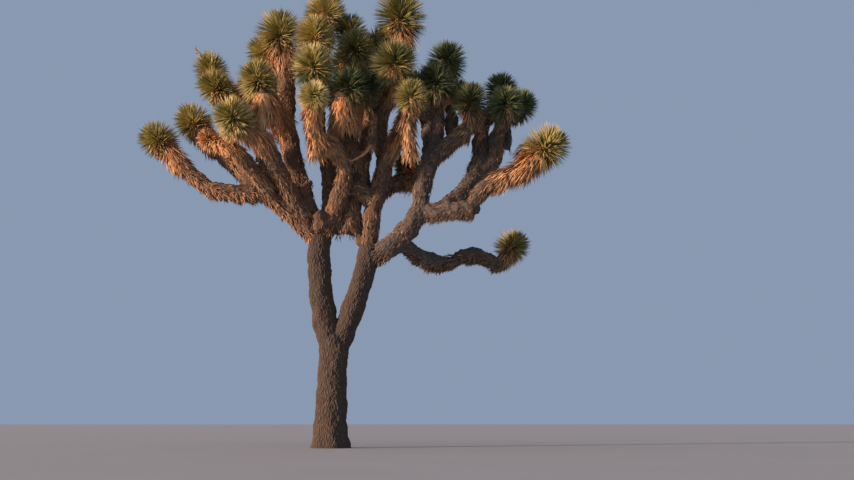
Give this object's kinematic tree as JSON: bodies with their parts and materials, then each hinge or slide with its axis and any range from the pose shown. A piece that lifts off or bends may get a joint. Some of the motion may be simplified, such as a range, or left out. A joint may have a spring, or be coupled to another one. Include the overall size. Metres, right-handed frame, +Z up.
{
  "type": "joshua tree",
  "caption": "Mature desert yucca tree: a short trunk forks into shaggy upward boughs that end in round heads of stiff dagger leaves.",
  "frame": {"origin": "centre of the flat cut under the trunk, at ground level", "axes": "+Z up the trunk; +X towards the low right-hand boughs; -Y towards the side that the picture shows"},
  "size_m": [5.9584, 3.748, 6.6297],
  "materials": {
    "trunk_bark": "rough grey-brown furrowed bark",
    "bough_bark": "rough bark shaggy with grey-tan dead leaves",
    "leaf_heads": "stiff green dagger leaves over a skirt of tan dead ones"
  },
  "bodies": {
    "root": {"trunk": "trunk_bark", "stem_left": "trunk_bark", "stem_right": "trunk_bark", "bough_left": "bough_bark", "bough_left_outer": "bough_bark", "bough_left_tip": "bough_bark", "bough_left_high": "bough_bark", "bough_left_front": "bough_bark", "bough_left_inner": "bough_bark", "bough_left_back": "bough_bark", "bough_upright": "bough_bark", "bough_upright_top": "bough_bark", "bough_middle_front": "bough_bark", "bough_middle_tip": "bough_bark", "bough_middle_back": "bough_bark", "bough_middle_top": "bough_bark", "bough_centre": "bough_bark", "bough_centre_top": "bough_bark", "bough_right_upright": "bough_bark", "bough_right_upright_top": "bough_bark", "bough_right_behind": "bough_bark", "bough_cross": "bough_bark", "bough_cross_top": "bough_bark", "bough_right": "bough_bark", "bough_right_up": "bough_bark", "bough_right_up_top": "bough_bark", "bough_right_up_side": "bough_bark", "bough_right_low": "bough_bark", "bough_right_low_tip": "bough_bark", "bough_right_back": "bough_bark", "bough_right_back_tip": "bough_bark", "bough_lowest": "bough_bark", "bough_lowest_tip": "bough_bark", "bough_back_left": "bough_bark", "bough_back_middle": "bough_bark", "bough_back_right": "bough_bark", "head_left_outer": "leaf_heads", "head_left_high": "leaf_heads", "head_left_front": "leaf_heads", "head_left_inner": "leaf_heads", "heads_left_back": "leaf_heads", "head_upright_front": "leaf_heads", "heads_upright_top": "leaf_heads", "head_middle_front": "leaf_heads", "heads_middle_top": "leaf_heads", "heads_centre_front": "leaf_heads", "heads_centre_top": "leaf_heads", "heads_right_upright": "leaf_heads", "head_right_front": "leaf_heads", "head_right_behind": "leaf_heads", "heads_right_up": "leaf_heads", "head_right_up_side": "leaf_heads", "heads_right_back": "leaf_heads", "head_right_back": "leaf_heads", "head_right_low": "leaf_heads", "head_lowest": "leaf_heads", "heads_back_left": "leaf_heads", "heads_back_middle": "leaf_heads", "heads_back_right": "leaf_heads"}
  },
  "joints": []
}
